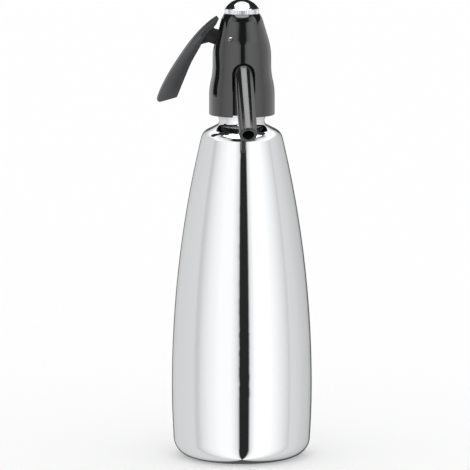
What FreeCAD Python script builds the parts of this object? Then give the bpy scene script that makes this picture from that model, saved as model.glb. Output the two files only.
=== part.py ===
"""Soda siphon, one litre, as an assembly of separate pieces.

Millimetres, +Z up, origin at the centre of the bottle's foot. The spout points to -Y (front), the
lever hangs on the -X side, and the gas charger's holder is at the back, +Y.
"""
import FreeCAD, Part
import math
import os
import re

import Sketcher

doc = FreeCAD.newDocument("soda_siphon")

# Driving dimensions, one cell each. Every name has an underscore, which expressions rely on.

dimensions = {
    # Bottle: foot, barrel, shoulder and neck
    "sheet_wall": 1.2,
    "foot_radius": 35.4,
    "foot_inner_radius": 31.0,
    "foot_corner": 13.6,
    "dome_edge_radius": 28.0,
    "dome_edge_height": 1.8,
    "dome_height": 7.4,
    "bottle_radius": 50.2,
    "widest_height": 50.0,
    "lower_side_curve": 552.0,
    "upper_side_curve": 772.0,
    "shoulder_start_radius": 29.0,
    "shoulder_start_height": 229.8,
    "shoulder_curve": 9.0,
    "shoulder_end_radius": 24.3,
    "shoulder_end_height": 235.6,
    "throat_start_radius": 17.7,
    "throat_start_height": 238.9,
    "throat_curve": 3.0,
    "neck_radius": 16.1,
    "neck_start_height": 241.5,
    "neck_rim_height": 243.2,
    # Neck ring and its thread
    "ring_flange_radius": 16.6,
    "ring_flange_top": 245.4,
    "neck_bore": 12.9,
    "spigot_bottom": 238.0,
    "neck_top": 260.0,
    "neck_thread_radius": 15.9,
    "thread_pitch": 2.5,
    "thread_depth": 0.8,
    "thread_clearance": 0.05,
    # Head core
    "skirt_radius": 19.4,
    "skirt_bottom": 247.2,
    "ceiling_height": 262.4,
    "skirt_top": 268.0,
    "core_radius": 12.0,
    "core_top": 296.0,
    "gasket_radius": 15.7,
    "chamber_radius": 4.5,
    "chamber_floor": 283.0,
    "seat_radius": 3.9,
    "seat_ledge": 279.4,
    "seat_top": 283.3,
    "seat_bore": 2.2,
    "outlet_radius": 3.0,
    "ear_inner": 6.2,
    "ear_outer": 11.4,
    "ear_left": 13.0,
    "ear_right": 11.0,
    "ear_trim_radius": 14.0,
    "ear_top": 306.0,
    # Spout, measured along its sloping axis from the head's axis
    "spout_height": 289.5,
    "spout_slope": 35.0,
    "spout_start": 11.0,
    "spout_end": 87.4,
    "spout_root_radius": 6.7,
    "spout_tip_radius": 6.35,
    "spout_bore": 3.95,
    "spout_rim": 1.1,
    "socket_clearance": 0.03,
    "spout_boss_radius": 8.6,
    "spout_boss_end": 20.0,
    "boss_trim_radius": 18.2,
    "spout_seal_place": 12.6,
    "spout_pin_place": 15.0,
    "spout_pin_offset": 6.2,
    "spout_pin_radius": 0.8,
    # Shroud
    "shroud_wall": 2.0,
    "shroud_bottom": 246.0,
    "shroud_edge": 0.9,
    "shroud_low_radius": 23.3,
    "shroud_low_top": 260.0,
    "shroud_mid_radius": 20.8,
    "shroud_mid_start": 281.2,
    "shroud_mid_top": 287.0,
    "shroud_waist_curve": 45.6,
    "shroud_bend_radius": 18.9,
    "shroud_bend_height": 300.0,
    "shroud_bend_curve": 45.0,
    "shroud_crown_radius": 15.0,
    "shroud_crown_height": 313.0,
    "shroud_crown_curve": 16.5,
    "shroud_top_radius": 12.6,
    "shroud_top": 317.9,
    "shroud_hole_radius": 7.2,
    "spout_slot_half": 7.7,
    "spout_slot_middle": 276.3,
    "slot_lip": 0.5,
    "lever_slot_half": 4.8,
    "lever_slot_bottom": 290.5,
    "lever_slot_top": 311.5,
    "rib_thickness": 1.6,
    "rib_inner": 13.6,
    "rib_outer": 21.0,
    "rib_top": 280.0,
    # Lever and its pin
    "pivot_offset": 9.0,
    "pivot_height": 301.0,
    "pin_radius": 1.5,
    "pin_half_length": 16.7,
    "pin_clearance": 0.05,
    "hub_radius": 2.9,
    "hub_half_width": 6.0,
    "web_half_width": 4.0,
    "tine_inner": 2.6,
    "tine_outer": 4.6,
    "tine_half_height": 1.3,
    "tine_pad_radius": 1.9,
    "handle_blank_half": 10.0,
    "handle_nose_half": 6.2,
    "handle_tip_half": 8.6,
    "handle_nose_height": 317.0,
    "handle_tip_height": 254.0,
    "handle_side_wall": 2.2,
    "rivet_radius": 1.6,
    # Valve stem, spring and bonnet
    "stem_radius": 1.8,
    "stem_bottom": 285.4,
    "stem_top": 313.0,
    "stem_flange_radius": 3.6,
    "stem_flange_top": 286.4,
    "washer_radius": 3.4,
    "washer_bottom": 283.35,
    "washer_screw_radius": 1.9,
    "washer_shank_radius": 0.9,
    "collar_radius": 4.6,
    "collar_bottom": 303.0,
    "collar_top": 304.6,
    "plug_bottom": 291.0,
    "plug_top": 297.6,
    "plug_head_radius": 5.3,
    "stem_seal_half": 0.7,
    "bonnet_radius": 13.0,
    "bonnet_flange_top": 308.4,
    "bonnet_barrel_radius": 7.0,
    "bonnet_bore": 5.2,
    "bonnet_roof": 315.9,
    "stud_radius": 6.0,
    "stud_top": 324.0,
    "screw_radius": 1.2,
    "screw_head_radius": 2.1,
    "screw_x": 2.0,
    "screw_y": 9.3,
    "screw_bottom": 299.0,
    "screw_top": 310.0,
    "spring_wire_radius": 0.45,
    "spring_coil_radius": 3.7,
    "spring_turns": 5.0,
    # Cap
    "cap_ring_radius": 12.25,
    "cap_ring_top": 321.8,
    "knurl_count": 60.0,
    "knurl_depth": 0.35,
    "dome_base_radius": 11.8,
    "dome_top": 328.4,
    "dome_wall": 1.0,
    # Riser and measuring tubes
    "riser_radius": 3.5,
    "riser_bore": 2.5,
    "riser_bottom": 14.0,
    "riser_top": 278.0,
    "riser_clearance": 0.03,
    "riser_seal_height": 270.0,
    "strainer_radius": 4.7,
    "strainer_bottom": 10.4,
    "strainer_top": 20.0,
    "measure_radius": 6.6,
    "measure_bore": 5.7,
    "measure_bottom": 215.0,
    "measure_spigot": 257.0,
    # Gas inlet and charger, measured from the head's axis towards the back
    "inlet_height": 272.0,
    "inlet_boss_radius": 9.0,
    "inlet_boss_end": 17.0,
    "inlet_tail_radius": 6.5,
    "inlet_tail_start": 11.0,
    "inlet_flange_radius": 9.8,
    "inlet_flange_end": 24.5,
    "inlet_thread_radius": 9.0,
    "inlet_end": 37.0,
    "inlet_bore": 4.7,
    "inlet_seal_start": 29.5,
    "inlet_seal_end": 31.5,
    "gas_bore": 1.2,
    "side_bore": 1.5,
    "gas_passage": 9.6,
    "piercer_radius": 2.4,
    "piercer_start": 23.0,
    "piercer_point": 34.0,
    "shroud_inlet_radius": 10.6,
    "holder_start": 26.0,
    "holder_end": 102.0,
    "holder_radius": 12.2,
    "holder_tail_radius": 11.2,
    "holder_bore": 9.5,
    "holder_insert_radius": 10.3,
    "holder_insert_end": 38.0,
    "flute_count": 12.0,
    "charger_radius": 9.0,
    "charger_start": 31.7,
    "charger_end": 97.0,
    "charger_neck_radius": 4.3,
    "charger_wall": 1.2,
    # Relief valve on the right of the core
    "relief_height": 274.0,
    "relief_boss_radius": 5.0,
    "relief_boss_end": 16.0,
    "relief_bore": 3.2,
    "relief_seat": 10.6,
    "relief_passage": 9.0,
    "relief_head_end": 18.3,
}

sheet = doc.addObject("Spreadsheet::Sheet", "Sizes")
for row, (name, size) in enumerate(dimensions.items(), start=1):
    sheet.set(f"A{row}", name)
    sheet.set(f"B{row}", str(size))
    sheet.setAlias(f"B{row}", name)
doc.recompute()


def cells(text):
    """Expression in which each size name is read from its cell."""
    return re.sub(r"[a-z]+(?:_[a-z]+)+", r"Sizes.\g<0>", text)


def value(text):
    """Number of an expression of sizes."""
    return float(sheet.evalExpression(cells(text)))


# Ways that an axis can point: what turns +Z that way, and the way itself

WAYS = {
    "up": ((0, 0, 1), "0", ("0", "0", "1")),
    "right": ((0, 1, 0), "90", ("1", "0", "0")),
    "back": ((1, 0, 0), "-90", ("0", "1", "0")),
    "spout": ((1, 0, 0), "90 + spout_slope", ("0", "-cos(spout_slope)", "-sin(spout_slope)")),
}


def aim(item, way="up", at=("0", "0", "0"), start="0"):
    """Place an item with its own +Z along a way, beginning a distance from a point on its axis."""
    axis, turn, steps = WAYS[way]
    item.Placement = FreeCAD.Placement(FreeCAD.Vector(), FreeCAD.Rotation(FreeCAD.Vector(*axis), value(turn)))
    item.setExpression("Placement.Rotation.Angle", cells(f"({turn}) * 1 deg"))
    for letter, middle, step in zip("xyz", at, steps):
        item.setExpression(f"Placement.Base.{letter}", cells(f"({middle}) + ({start}) * ({step})"))
    return item


SPOUT_AXIS = ("0", "0", "spout_height")
INLET_AXIS = ("0", "0", "inlet_height")
RELIEF_AXIS = ("0", "0", "relief_height")
PIVOT_AXIS = ("-pivot_offset", "0", "pivot_height")
SPOUT_PIN_AXIS = (
    "0",
    "-spout_pin_place * cos(spout_slope) - spout_pin_offset * sin(spout_slope)",
    "spout_height - spout_pin_place * sin(spout_slope) + spout_pin_offset * cos(spout_slope)",
)


def rod(label, radius, start, end, way="up", at=("0", "0", "0")):
    """Plain cylinder from start to end along a way."""
    item = doc.addObject("Part::Cylinder", "rod")
    item.Label = label
    item.setExpression("Radius", cells(radius))
    item.setExpression("Height", cells(f"({end}) - ({start})"))
    return aim(item, way, at, start)


def block(label, low, high):
    """Box between two corners, each given as three expressions."""
    item = doc.addObject("Part::Box", "block")
    item.Label = label
    for field, letter, near, far in zip(("Length", "Width", "Height"), "xyz", low, high):
        item.setExpression(field, cells(f"({far}) - ({near})"))
        item.setExpression(f"Placement.Base.{letter}", cells(near))
    return item


def hoop(label, middle_radius, half_thickness, way="up", at=("0", "0", "0"), start="0"):
    """Round-section ring."""
    item = doc.addObject("Part::Torus", "hoop")
    item.Label = label
    item.setExpression("Radius1", cells(middle_radius))
    item.setExpression("Radius2", cells(half_thickness))
    return aim(item, way, at, start)


def arc_between(begin, end, radius):
    """Shorter arc between two points; it turns left for a radius above zero, right for one below."""
    across, up = end[0] - begin[0], end[1] - begin[1]
    reach = math.hypot(across, up)
    rise = math.copysign(math.sqrt(max(radius ** 2 - (reach / 2) ** 2, 0)), radius)
    middle = (begin[0] + across / 2 - up / reach * rise, begin[1] + up / 2 + across / reach * rise)
    first, last = (begin, end) if radius > 0 else (end, begin)
    angles = [math.atan2(point[1] - middle[1], point[0] - middle[0]) for point in (first, last)]
    if angles[1] < angles[0]:
        angles[1] += 2 * math.pi
    circle = Part.Circle(FreeCAD.Vector(*middle, 0), FreeCAD.Vector(0, 0, 1), abs(radius))
    return Part.ArcOfCircle(circle, *angles)


def draw(sketch, corners):
    """Closed outline, fully constrained to the sheet.

    A corner is (across, up), or (across, up, radius) where an arc leads on to the next corner.
    """
    places = [(value(corner[0]), value(corner[1])) for corner in corners]
    ends = []
    for number, corner in enumerate(corners):
        begin, end = places[number], places[(number + 1) % len(places)]
        if len(corner) == 3:
            radius = value(corner[2])
            edge = sketch.addGeometry(arc_between(begin, end, radius))
            bound = sketch.addConstraint(Sketcher.Constraint("Radius", edge, abs(radius)))
            sketch.setExpression(f"Constraints[{bound}]", cells(f"abs({corner[2]})"))
            ends.append((edge, 1, 2) if radius > 0 else (edge, 2, 1))
        else:
            line = Part.LineSegment(FreeCAD.Vector(*begin, 0), FreeCAD.Vector(*end, 0))
            ends.append((sketch.addGeometry(line), 1, 2))
    for number, corner in enumerate(corners):
        edge, first, last = ends[number]
        following, following_first, _ = ends[(number + 1) % len(ends)]
        sketch.addConstraint(Sketcher.Constraint("Coincident", edge, last, following, following_first))
        for kind, text in (("DistanceX", corner[0]), ("DistanceY", corner[1])):
            bound = sketch.addConstraint(Sketcher.Constraint(kind, -1, 1, edge, first, value(text)))
            sketch.setExpression(f"Constraints[{bound}]", cells(text))


def sketch_in(body, plane, corners):
    """Outline on one of the body's own planes, such as XZ_Plane."""
    sketch = body.newObject("Sketcher::SketchObject", "outline")
    role = next(feature for feature in body.Origin.OriginFeatures if feature.Role == plane)
    sketch.AttachmentSupport = (role, [""])
    sketch.MapMode = "FlatFace"
    draw(sketch, corners)
    return sketch


def turned(label, corners):
    """Body revolved about +Z from an outline of (radius, height) corners."""
    body = doc.addObject("PartDesign::Body", "turned")
    body.Label = label
    sketch = sketch_in(body, "XZ_Plane", corners)
    spin = body.newObject("PartDesign::Revolution", "spin")
    spin.Profile = sketch
    spin.ReferenceAxis = (sketch, ["V_Axis"])
    spin.Angle = 360
    doc.recompute()
    return body


def tube(label, outer, inner, bottom, top):
    """Plain turned tube or ring."""
    return turned(label, [(inner, bottom), (outer, bottom), (outer, top), (inner, top)])


def padded(label, plane, corners, half_width):
    """Body of an outline thickened equally to both sides of its plane."""
    body = doc.addObject("PartDesign::Body", "padded")
    body.Label = label
    pad = body.newObject("PartDesign::Pad", "pad")
    pad.Profile = sketch_in(body, plane, corners)
    pad.SideType = "Symmetric"
    pad.setExpression("Length", cells(f"2 * ({half_width})"))
    doc.recompute()
    return body


def thread(body, crest, depth, start, end):
    """Helical groove round a turned body, cut from start to end."""
    half_mouth = "thread_pitch * 0.36"
    sketch = sketch_in(body, "XZ_Plane", [
        (f"{crest} - {depth}", f"{start} - 0.2"),
        (f"{crest} + 0.3", f"{start} - {half_mouth}"),
        (f"{crest} + 0.3", f"{start} + {half_mouth}"),
        (f"{crest} - {depth}", f"{start} + 0.2"),
    ])
    groove = body.newObject("PartDesign::SubtractiveHelix", "thread")
    groove.Profile = sketch
    groove.ReferenceAxis = (sketch, ["V_Axis"])
    groove.Mode = 0
    groove.setExpression("Pitch", cells("thread_pitch"))
    groove.setExpression("Height", cells(f"({end}) - ({start})"))
    doc.recompute()


def around(body, corners, depth, count):
    """Pocket cut upwards from the body's floor plane, repeated evenly about +Z."""
    groove = body.newObject("PartDesign::Pocket", "groove")
    groove.Profile = sketch_in(body, "XY_Plane", corners)
    groove.setExpression("Length", cells(depth))
    groove.Reversed = True
    doc.recompute()
    repeat = body.newObject("PartDesign::PolarPattern", "repeat")
    repeat.Originals = [groove]
    repeat.Axis = (groove.Profile[0], ["N_Axis"])
    repeat.Angle = 360
    repeat.Occurrences = int(value(count))
    body.Tip = repeat
    doc.recompute()


def fused(label, *items):
    """One solid of several touching ones."""
    item = doc.addObject("Part::MultiFuse", "fused")
    item.Label = label
    item.Shapes = list(items)
    item.Refine = True
    return item


def common(label, first, second):
    """What two solids share."""
    item = doc.addObject("Part::Common", "common")
    item.Label = label
    item.Base = first
    item.Tool = second
    return item


def cut(label, base, *tools):
    """A solid with its openings taken away."""
    tool = tools[0]
    if len(tools) > 1:
        tool = doc.addObject("Part::MultiFuse", "openings")
        tool.Label = f"{label} openings"
        tool.Shapes = list(tools)
    item = doc.addObject("Part::Cut", "cut")
    item.Label = label
    item.Base = base
    item.Tool = tool
    return item


pieces = []


def keep(item):
    """Count an item among the finished pieces; its Label names it."""
    pieces.append(item)
    return item


# Bottle: spun metal shell with a domed foot, hollowed to one sheet thickness

def dome_curve(edge, rise):
    """Radius of a dome that is level on the axis, from its edge radius and its rise."""
    return f"(({edge}) * ({edge}) + ({rise}) * ({rise})) / (2 * ({rise}))"


inner_edge = "dome_edge_radius + 0.1"
inner_edge_height = "(dome_edge_height + 1.1 * sheet_wall)"
under_dome = dome_curve("dome_edge_radius", "dome_height - dome_edge_height")
over_dome = dome_curve(inner_edge, f"dome_height + sheet_wall - {inner_edge_height}")
bottle = turned("bottle_shell", [
    ("0", "dome_height", f"-({under_dome})"),
    ("dome_edge_radius", "dome_edge_height"),
    ("foot_inner_radius", "0"),
    ("foot_radius", "0", "foot_corner"),
    ("foot_radius + foot_corner", "foot_corner", "lower_side_curve"),
    ("bottle_radius", "widest_height", "upper_side_curve"),
    ("shoulder_start_radius", "shoulder_start_height", "shoulder_curve"),
    ("shoulder_end_radius", "shoulder_end_height"),
    ("throat_start_radius", "throat_start_height", "-throat_curve"),
    ("neck_radius", "neck_start_height"),
    ("neck_radius", "neck_rim_height"),
    ("neck_radius - sheet_wall", "neck_rim_height"),
    ("neck_radius - sheet_wall", "neck_start_height", "throat_curve + sheet_wall"),
    ("throat_start_radius - 0.5 * sheet_wall", "throat_start_height - 0.9 * sheet_wall"),
    (
        "shoulder_end_radius - 0.5 * sheet_wall",
        "shoulder_end_height - 0.9 * sheet_wall",
        "sheet_wall - shoulder_curve",
    ),
    (
        "shoulder_start_radius - sheet_wall",
        "shoulder_start_height - 0.2 * sheet_wall",
        "sheet_wall - upper_side_curve",
    ),
    ("bottle_radius - sheet_wall", "widest_height", "sheet_wall - lower_side_curve"),
    ("foot_radius + foot_corner - sheet_wall", "foot_corner", "sheet_wall - foot_corner"),
    ("foot_radius", "sheet_wall"),
    ("foot_inner_radius + 0.3", "sheet_wall"),
    (inner_edge, inner_edge_height, over_dome),
    ("0", "dome_height + sheet_wall"),
])
keep(bottle)

# Neck ring: spigot in the shell's neck, flange on its rim, thread above

neck_inner = "neck_radius - sheet_wall"
neck_ring = turned("neck_ring", [
    ("neck_bore", "spigot_bottom"),
    (neck_inner, "spigot_bottom"),
    (neck_inner, "neck_rim_height"),
    ("ring_flange_radius", "neck_rim_height"),
    ("ring_flange_radius", "ring_flange_top"),
    ("neck_thread_radius", "ring_flange_top"),
    ("neck_thread_radius", "neck_top"),
    ("neck_bore", "neck_top"),
])
thread(neck_ring, "neck_thread_radius", "thread_depth", "ring_flange_top + 2", "neck_top + 1")
keep(neck_ring)

# Valve body: skirt over the neck, core with the chamber, two ears for the pin, three bosses

casting = turned("core and skirt", [
    ("neck_thread_radius + thread_clearance", "skirt_bottom"),
    ("skirt_radius", "skirt_bottom"),
    ("skirt_radius", "skirt_top"),
    ("core_radius", "skirt_top"),
    ("core_radius", "core_top"),
    ("0", "core_top"),
    ("0", "measure_spigot"),
    ("measure_bore", "measure_spigot"),
    ("measure_bore", "ceiling_height"),
    ("neck_thread_radius + thread_clearance", "ceiling_height"),
])
ears = common(
    "ears",
    fused(
        "ear plates",
        block(
            "front ear", ("-ear_left", "-ear_outer", "core_top - 8"), ("ear_right", "-ear_inner", "ear_top")
        ),
        block(
            "back ear", ("-ear_left", "ear_inner", "core_top - 8"), ("ear_right", "ear_outer", "ear_top")
        ),
    ),
    rod("ear trim", "ear_trim_radius", "core_top - 9", "ear_top + 1"),
)
spout_boss = common(
    "spout boss",
    rod("spout boss blank", "spout_boss_radius", "5", "spout_boss_end", "spout", SPOUT_AXIS),
    rod("spout boss trim", "boss_trim_radius", "skirt_top - 1", "core_top"),
)
inlet_boss = rod("inlet boss", "inlet_boss_radius", "6", "inlet_boss_end", "back", INLET_AXIS)
relief_boss = rod("relief boss", "relief_boss_radius", "6", "relief_boss_end", "right", RELIEF_AXIS)
keep(cut(
    "valve_body",
    fused("valve body blank", casting, ears, spout_boss, inlet_boss, relief_boss),
    rod("riser socket", "riser_radius + riser_clearance", "measure_spigot - 1", "seat_ledge"),
    rod("seat socket", "seat_radius", "seat_ledge", "chamber_floor + 1"),
    rod("chamber", "chamber_radius", "chamber_floor", "core_top + 1"),
    hoop("riser seal groove", "riser_radius + 0.7", "0.72", "up", ("0", "0", "riser_seal_height")),
    rod("outlet", "outlet_radius", "2", "spout_start + 1", "spout", SPOUT_AXIS),
    rod(
        "spout socket", "spout_root_radius + socket_clearance", "spout_start", "spout_boss_end + 9",
        "spout", SPOUT_AXIS,
    ),
    rod("spout pin hole", "spout_pin_radius", "-10", "10", "right", SPOUT_PIN_AXIS),
    rod("inlet socket", "inlet_tail_radius", "inlet_tail_start", "inlet_boss_end + 1", "back", INLET_AXIS),
    rod(
        "flange recess", "inlet_flange_radius + 0.2", "inlet_boss_end", "inlet_flange_end",
        "back", INLET_AXIS,
    ),
    rod("gas bore", "side_bore", "gas_passage - 0.5", "inlet_tail_start + 1", "back", INLET_AXIS),
    rod(
        "gas passage", "gas_bore", "ceiling_height - 1", "inlet_height + 0.4",
        "up", ("0", "gas_passage", "0"),
    ),
    rod("relief socket", "relief_bore", "relief_seat", "relief_boss_end + 1", "right", RELIEF_AXIS),
    rod("relief bore", "side_bore", "relief_passage - 0.5", "relief_seat + 1", "right", RELIEF_AXIS),
    rod(
        "relief passage", "gas_bore", "ceiling_height - 1", "relief_height + 0.4", "up",
        ("relief_passage", "0", "0"),
    ),
    rod("pin bore", "pin_radius", "-20", "20", "back", PIVOT_AXIS),
    rod(
        "front screw hole", "screw_radius", "screw_bottom", "ear_top + 1",
        "up", ("screw_x", "-screw_y", "0"),
    ),
    rod(
        "back screw hole", "screw_radius", "screw_bottom", "ear_top + 1",
        "up", ("screw_x", "screw_y", "0"),
    ),
))

# Flat gasket between the neck's rim and the skirt's ceiling

keep(tube("head_gasket", "gasket_radius", "neck_bore", "neck_top", "ceiling_height"))

# Shroud: waisted cover with an open arch for the spout, a slot for the lever and inner ribs

waist_middle_radius = "(shroud_low_radius + shroud_mid_radius) / 2"
waist_middle_height = "(shroud_low_top + shroud_mid_start) / 2"
shell = turned("shroud shell", [
    ("shroud_low_radius - shroud_wall", "shroud_bottom"),
    ("shroud_low_radius - shroud_edge", "shroud_bottom", "shroud_edge"),
    ("shroud_low_radius", "shroud_bottom + shroud_edge"),
    ("shroud_low_radius", "shroud_low_top", "shroud_waist_curve"),
    (waist_middle_radius, waist_middle_height, "-shroud_waist_curve"),
    ("shroud_mid_radius", "shroud_mid_start"),
    ("shroud_mid_radius", "shroud_mid_top", "shroud_bend_curve"),
    ("shroud_bend_radius", "shroud_bend_height"),
    ("shroud_crown_radius", "shroud_crown_height", "shroud_crown_curve"),
    ("shroud_top_radius", "shroud_top"),
    ("shroud_hole_radius", "shroud_top"),
    ("shroud_hole_radius", "shroud_top - shroud_wall"),
    ("shroud_top_radius - 1", "shroud_top - shroud_wall", "2 - shroud_crown_curve"),
    ("shroud_crown_radius - shroud_wall", "shroud_crown_height - 1"),
    ("shroud_bend_radius - shroud_wall", "shroud_bend_height - 1", "-43"),
    ("shroud_mid_radius - shroud_wall", "shroud_mid_top"),
    ("shroud_mid_radius - shroud_wall", "shroud_mid_start", "shroud_waist_curve + shroud_wall"),
    (f"{waist_middle_radius} - shroud_wall", waist_middle_height, "shroud_wall - shroud_waist_curve"),
    ("shroud_low_radius - shroud_wall", "shroud_low_top"),
])
ribs = [
    aim(
        block(
            f"rib {number}", ("rib_inner", "-rib_thickness / 2", "skirt_top"),
            ("rib_outer", "rib_thickness / 2", "rib_top"),
        ),
    )
    for number in range(4)
]
for number, rib in enumerate(ribs):
    turn = 45 + 90 * number
    rib.Placement.Rotation = FreeCAD.Rotation(FreeCAD.Vector(0, 0, 1), turn)
    rib.setExpression("Placement.Rotation.Angle", f"{turn} deg")
    rib.setExpression("Placement.Base.x", cells(f"rib_inner * cos({turn}) + rib_thickness / 2 * sin({turn})"))
    rib.setExpression("Placement.Base.y", cells(f"rib_inner * sin({turn}) - rib_thickness / 2 * cos({turn})"))
    rib.setExpression("Placement.Base.z", cells("skirt_top"))
# The arch and its lip are pads that reach from the head's axis to the front
arch = [
    ("-spout_slot_half", "shroud_bottom - 2"),
    ("spout_slot_half", "shroud_bottom - 2"),
    ("spout_slot_half", "spout_slot_middle", "spout_slot_half"),
    ("0", "spout_slot_middle + spout_slot_half", "spout_slot_half"),
    ("-spout_slot_half", "spout_slot_middle"),
]
FRONT_HALF = block("front half", ("-30", "-40", "200"), ("30", "-5", "330"))
LEFT_HALF = block("left half", ("-40", "-30", "200"), ("-5", "30", "330"))
lever_slot = [
    ("-lever_slot_half", "lever_slot_bottom + lever_slot_half", "lever_slot_half"),
    ("0", "lever_slot_bottom", "lever_slot_half"),
    ("lever_slot_half", "lever_slot_bottom + lever_slot_half"),
    ("lever_slot_half", "lever_slot_top - lever_slot_half", "lever_slot_half"),
    ("0", "lever_slot_top", "lever_slot_half"),
    ("-lever_slot_half", "lever_slot_top - lever_slot_half"),
]
cover = cut(
    "shroud cut out",
    fused("shroud with ribs", shell, *ribs),
    common("spout arch", padded("spout arch pad", "XZ_Plane", arch, "40"), FRONT_HALF),
    common("lever slot", padded("lever slot pad", "YZ_Plane", lever_slot, "40"), LEFT_HALF),
    rod("spout way", "spout_root_radius + 0.4", "12", "40", "spout", SPOUT_AXIS),
    rod("pin holes", "pin_radius", "-25", "25", "back", PIVOT_AXIS),
    rod("inlet hole", "shroud_inlet_radius", "12", "30", "back", INLET_AXIS),
)
doc.recompute()


def edges_where(shape, wanted):
    """Numbers of the edges whose every sampled point is wanted."""
    numbers = []
    for number, edge in enumerate(shape.Edges, start=1):
        span = edge.LastParameter - edge.FirstParameter
        points = [edge.valueAt(edge.FirstParameter + span * step / 4) for step in range(5)]
        if all(wanted(point) for point in points):
            numbers.append(number)
    return numbers


def on_arch_lip(point):
    """Whether a point lies on the outer edge of the spout's arch."""
    if point.y > -15 or point.z < value("shroud_bottom") + 1.5:
        return False
    side = abs(abs(point.x) - value("spout_slot_half")) < 0.02
    above = point.z >= value("spout_slot_middle") - 0.02
    from_middle = math.hypot(point.x, point.z - value("spout_slot_middle"))
    round_top = abs(from_middle - value("spout_slot_half")) < 0.02
    outer = math.hypot(point.x, point.y) > value("shroud_mid_radius") - 0.1
    return outer and (round_top if above else side)


lip = doc.addObject("Part::Chamfer", "lip")
lip.Label = "shroud"
lip.Base = cover
lip.Edges = [
    (number, value("slot_lip"), value("slot_lip"))
    for number in edges_where(cover.Shape, on_arch_lip)
]
doc.recompute()
keep(lip)

# Spout: tapered tube with a rounded mouth, its seal and the pin that keeps it in the socket

spout = turned("spout tube blank", [
    ("spout_bore", "spout_start"),
    ("spout_root_radius", "spout_start"),
    ("spout_root_radius", "spout_boss_end + 6"),
    ("spout_tip_radius", "spout_end - spout_rim", "spout_rim"),
    ("spout_tip_radius - spout_rim", "spout_end"),
    ("spout_bore + 0.5", "spout_end", "0.5"),
    ("spout_bore", "spout_end - 0.5"),
])
aim(spout, "spout", SPOUT_AXIS)
keep(cut(
    "spout_tube",
    spout,
    hoop("spout seal groove", "spout_root_radius - 0.7", "0.75", "spout", SPOUT_AXIS, "spout_seal_place"),
    rod("spout pin groove", "spout_pin_radius", "-9", "9", "right", SPOUT_PIN_AXIS),
))
keep(hoop("spout_o_ring", "spout_root_radius - 0.7", "0.7", "spout", SPOUT_AXIS, "spout_seal_place"))
keep(rod("spout_pin", "spout_pin_radius - 0.02", "-6.8", "6.8", "right", SPOUT_PIN_AXIS))

# Riser tube with its strainer and seal, and the measuring tube round it

keep(tube("riser_tube", "riser_radius", "riser_bore", "riser_bottom", "riser_top"))
keep(hoop("riser_o_ring", "riser_radius + 0.7", "0.68", "up", ("0", "0", "riser_seal_height")))
strainer = turned("strainer cup", [
    ("0", "strainer_bottom"),
    ("strainer_radius - 1", "strainer_bottom", "1"),
    ("strainer_radius", "strainer_bottom + 1"),
    ("strainer_radius", "strainer_top"),
    ("riser_radius", "strainer_top"),
    ("riser_radius", "riser_bottom"),
    ("riser_bore", "riser_bottom - 0.01"),
    ("riser_bore", "strainer_bottom + 1.2"),
    ("0", "strainer_bottom + 1.2"),
])
SLITS = [
    block(f"strainer slit {way}", low, high)
    for way, low, high in (
        ("across", ("-6", "-0.7", "strainer_bottom - 1"), ("6", "0.7", "riser_bottom - 0.8")),
        ("along", ("-0.7", "-6", "strainer_bottom - 1"), ("0.7", "6", "riser_bottom - 0.8")),
    )
]
keep(cut("riser_strainer", strainer, *SLITS))
keep(tube("measuring_tube", "measure_radius", "measure_bore", "measure_bottom", "ceiling_height"))

# Valve: seat, stem, washer and its screw, and the collar that the fork lifts

keep(turned("valve_seat", [
    ("seat_bore", "seat_ledge"),
    ("seat_radius", "seat_ledge"),
    ("seat_radius", "chamber_floor"),
    ("seat_bore + 0.7", "seat_top"),
    ("seat_bore", "seat_top"),
]))
keep(turned("valve_stem", [
    ("washer_shank_radius", "stem_bottom"),
    ("stem_flange_radius", "stem_bottom"),
    ("stem_flange_radius", "stem_flange_top"),
    ("stem_radius", "stem_flange_top"),
    ("stem_radius", "stem_top - 0.4"),
    ("stem_radius - 0.4", "stem_top"),
    ("0", "stem_top"),
    ("0", "stem_bottom + 4"),
    ("washer_shank_radius", "stem_bottom + 4"),
]))
keep(tube("valve_washer", "washer_radius", "washer_shank_radius", "washer_bottom", "stem_bottom"))
keep(turned("washer_screw", [
    ("0", "washer_bottom - 0.9"),
    ("washer_screw_radius - 0.3", "washer_bottom - 0.9"),
    ("washer_screw_radius", "washer_bottom - 0.6"),
    ("washer_screw_radius", "washer_bottom"),
    ("washer_shank_radius", "washer_bottom"),
    ("washer_shank_radius", "stem_bottom + 4"),
    ("0", "stem_bottom + 4"),
]))
keep(tube("stem_collar", "collar_radius", "stem_radius", "collar_bottom", "collar_top"))

# Gland plug closes the chamber round the stem, with the stem's seal in its underside

keep(turned("gland_plug", [
    ("stem_radius + 0.05", "plug_bottom + 2 * stem_seal_half"),
    ("stem_radius + 0.05 + 2 * stem_seal_half", "plug_bottom + 2 * stem_seal_half"),
    ("stem_radius + 0.05 + 2 * stem_seal_half", "plug_bottom"),
    ("chamber_radius", "plug_bottom"),
    ("chamber_radius", "core_top"),
    ("plug_head_radius", "core_top"),
    ("plug_head_radius", "plug_top"),
    ("stem_radius + 0.05", "plug_top"),
]))
keep(hoop(
    "stem_o_ring", "stem_radius + 0.06 + stem_seal_half", "stem_seal_half - 0.02", "up",
    ("0", "0", "plug_bottom + stem_seal_half"),
))

# Bonnet over the spring, its stud for the cap, its two screws, and the spring itself

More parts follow.
